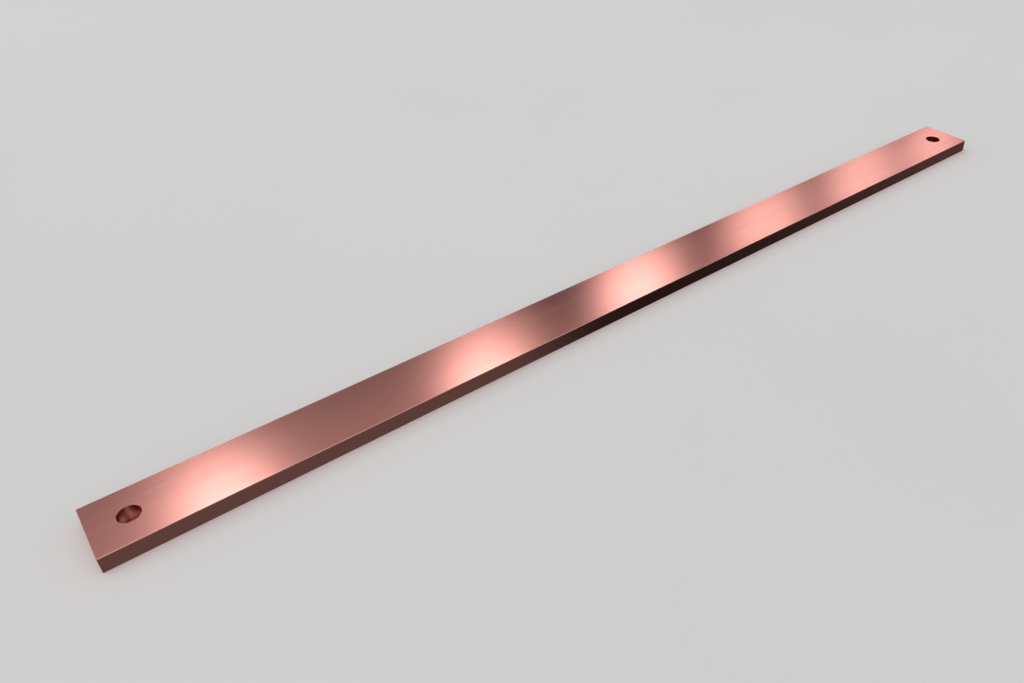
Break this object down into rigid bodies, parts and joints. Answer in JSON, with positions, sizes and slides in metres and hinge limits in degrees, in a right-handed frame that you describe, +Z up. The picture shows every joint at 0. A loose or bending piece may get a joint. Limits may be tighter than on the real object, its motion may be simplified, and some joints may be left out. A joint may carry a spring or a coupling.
{
  "type": "copper busbar",
  "caption": "Flat rectangular solid copper bar, satin finish, with a round bolt hole near each end, for joining electrical terminals.",
  "frame": {"origin": "centre of the bar's underside, midway between the two holes", "axes": "+X along the bar, +Y across its width, +Z up through its thickness; the bar lies on its wide face"},
  "size_m": [0.4572, 0.0254, 0.0063],
  "materials": {
    "copper": "satin"
  },
  "bodies": {
    "root": {"copper_bar": "copper"}
  },
  "joints": []
}
